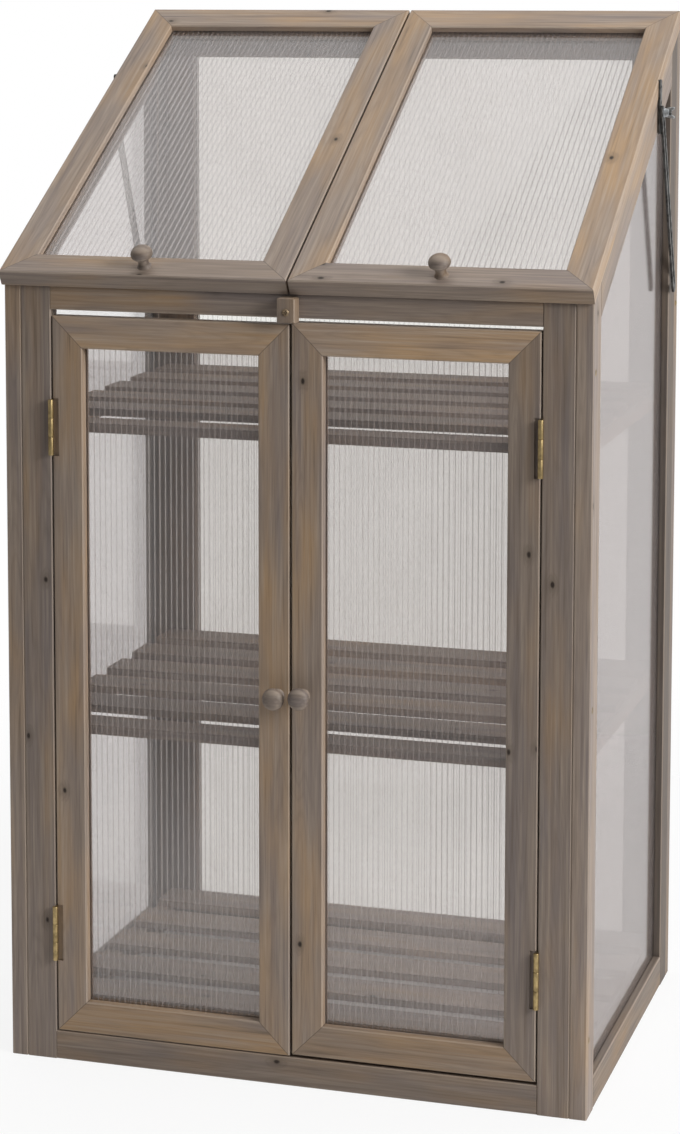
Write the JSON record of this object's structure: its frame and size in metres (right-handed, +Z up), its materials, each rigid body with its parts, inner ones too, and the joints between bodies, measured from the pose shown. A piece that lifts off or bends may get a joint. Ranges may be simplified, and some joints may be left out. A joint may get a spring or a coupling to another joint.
{
  "type": "wooden mini greenhouse",
  "caption": "Free-standing timber mini greenhouse with glazed double doors, slatted shelves and hinged glazed roof lids.",
  "frame": {"origin": "centre of the overall box, on the ground", "axes": "+X to the right as seen from the front, +Y from the doors to the back, +Z up"},
  "size_m": [0.6562, 0.4858, 1.101],
  "materials": {
    "frame_wood": "weathered grey-brown stain on softwood",
    "door_wood": "weathered grey-brown stain on softwood",
    "lid_wood": "weathered grey-brown stain on softwood",
    "shelf_wood": "stained softwood",
    "turned_wood": "stained turned wood",
    "twin_wall_sheet": "clear ribbed twin-wall polycarbonate",
    "brass": "dull brass-plated",
    "dark_steel": "dull dark coating",
    "zinc_steel": "dull yellow zinc"
  },
  "bodies": {
    "cabinet": {"right_side_front_stile": "frame_wood", "left_side_front_stile": "frame_wood", "right_side_rear_stile": "frame_wood", "left_side_rear_stile": "frame_wood", "side_bottom_rails": "frame_wood", "right_side_top_rail": "frame_wood", "left_side_top_rail": "frame_wood", "right_side_panel": "twin_wall_sheet", "left_side_panel": "twin_wall_sheet", "front_stiles": "frame_wood", "front_top_rail": "frame_wood", "front_bottom_rail": "frame_wood", "back_stiles": "frame_wood", "back_top_rail": "frame_wood", "back_bottom_rail": "frame_wood", "back_panel": "twin_wall_sheet", "bottom_shelf_slats": "shelf_wood", "middle_shelf_slats": "shelf_wood", "top_shelf_slats": "shelf_wood", "shelf_front_rails": "shelf_wood", "shelf_cleats": "shelf_wood", "door_hinge_frame_leaves": "brass", "lid_hinge_frame_leaves": "brass", "turn_button_screw": "zinc_steel"},
    "left_door": {"left_door_meeting_stile": "door_wood", "left_door_hinge_stile": "door_wood", "left_door_bottom_rail": "door_wood", "left_door_top_rail": "door_wood", "left_door_panel": "twin_wall_sheet", "left_door_knob": "turned_wood", "left_door_hinge_leaves": "brass"},
    "right_door": {"right_door_meeting_stile": "door_wood", "right_door_hinge_stile": "door_wood", "right_door_bottom_rail": "door_wood", "right_door_top_rail": "door_wood", "right_door_panel": "twin_wall_sheet", "right_door_knob": "turned_wood", "right_door_hinge_leaves": "brass"},
    "left_lid": {"left_lid_inner_side": "lid_wood", "left_lid_outer_side": "lid_wood", "left_lid_bottom_rail": "lid_wood", "left_lid_top_rail": "lid_wood", "left_lid_panel": "twin_wall_sheet", "left_lid_knob": "turned_wood", "left_lid_stay_bracket": "dark_steel", "left_lid_hinge_leaves": "brass"},
    "right_lid": {"right_lid_inner_side": "lid_wood", "right_lid_outer_side": "lid_wood", "right_lid_bottom_rail": "lid_wood", "right_lid_top_rail": "lid_wood", "right_lid_panel": "twin_wall_sheet", "right_lid_knob": "turned_wood", "right_lid_stay_bracket": "dark_steel", "right_lid_hinge_leaves": "brass"},
    "left_stay": {"left_stay_bar": "dark_steel"},
    "right_stay": {"right_stay_bar": "dark_steel"},
    "left_wing_nut": {"left_wing_nut": "dark_steel"},
    "right_wing_nut": {"right_wing_nut": "dark_steel"},
    "turn_button": {"turn_button": "turned_wood"}
  },
  "joints": [
    {"name": "right_door_hinge", "type": "hinge", "parent": "cabinet", "child": "right_door", "pos_m": [0.25825, -0.22228, 0.411], "axis": [0, 0, 1], "range_deg": [0, 170]},
    {"name": "left_door_hinge", "type": "hinge", "parent": "cabinet", "child": "left_door", "pos_m": [-0.25825, -0.22228, 0.411], "axis": [0, 0, -1], "range_deg": [0, 170]},
    {"name": "right_lid_hinge", "type": "hinge", "parent": "cabinet", "child": "right_lid", "pos_m": [0.156, 0.24012, 1.08686], "axis": [-1, 0, 0], "range_deg": [0, 60]},
    {"name": "left_lid_hinge", "type": "hinge", "parent": "cabinet", "child": "left_lid", "pos_m": [-0.156, 0.24012, 1.08686], "axis": [-1, 0, 0], "range_deg": [0, 60]},
    {"name": "right_stay_pivot", "type": "hinge", "parent": "right_lid", "child": "right_stay", "pos_m": [0.31455, 0.10592, 0.99296], "axis": [1, 0, 0], "range_deg": [-80, 95]},
    {"name": "left_stay_pivot", "type": "hinge", "parent": "left_lid", "child": "left_stay", "pos_m": [-0.31455, 0.10592, 0.99296], "axis": [1, 0, 0], "range_deg": [-80, 95]},
    {"name": "right_wing_nut_turn", "type": "hinge", "parent": "right_lid", "child": "right_wing_nut", "pos_m": [0.3191, 0.10592, 0.99296], "axis": [1, 0, 0], "continuous": true},
    {"name": "left_wing_nut_turn", "type": "hinge", "parent": "left_lid", "child": "left_wing_nut", "pos_m": [-0.3191, 0.10592, 0.99296], "axis": [1, 0, 0], "continuous": true},
    {"name": "turn_button_pivot", "type": "hinge", "parent": "cabinet", "child": "turn_button", "pos_m": [0, -0.22708, 0.803], "axis": [0, -1, 0], "continuous": true}
  ]
}
